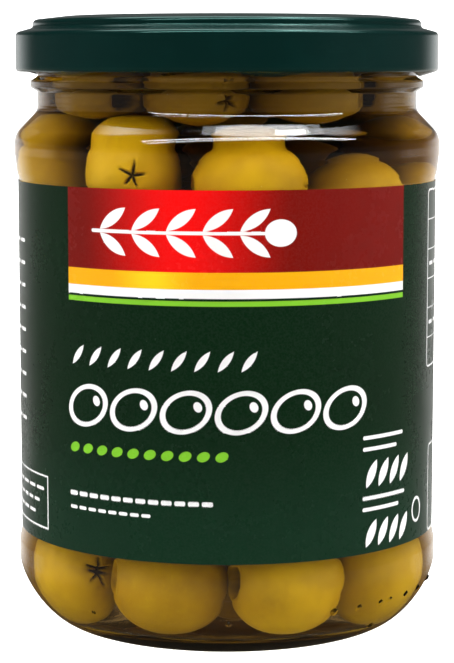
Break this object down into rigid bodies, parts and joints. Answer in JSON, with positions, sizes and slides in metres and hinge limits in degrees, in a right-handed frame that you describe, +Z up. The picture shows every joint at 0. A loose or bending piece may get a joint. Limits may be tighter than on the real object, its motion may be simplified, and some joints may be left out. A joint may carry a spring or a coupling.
{
  "type": "jar of olives",
  "caption": "Round twist-off glass jar packed with pitted green olives in brine, with a pressed metal lid and a wrap-round paper label.",
  "frame": {"origin": "middle of the base, on the surface that the jar stands on", "axes": "+Z up through the lid, -Y towards the front of the label, +X to the right of the front"},
  "size_m": [0.0812, 0.0812, 0.1154],
  "materials": {
    "glass": "clear, polished",
    "lid_lacquer": "dark green glossy lacquer on tinplate",
    "label_paper": "coated paper printed dark green, red, orange, yellow, light green and white",
    "olive_skin": "wet olive skin"
  },
  "bodies": {
    "root": {"glass_jar": "glass", "lid": "lid_lacquer", "label": "label_paper", "olives": "olive_skin"}
  },
  "joints": []
}
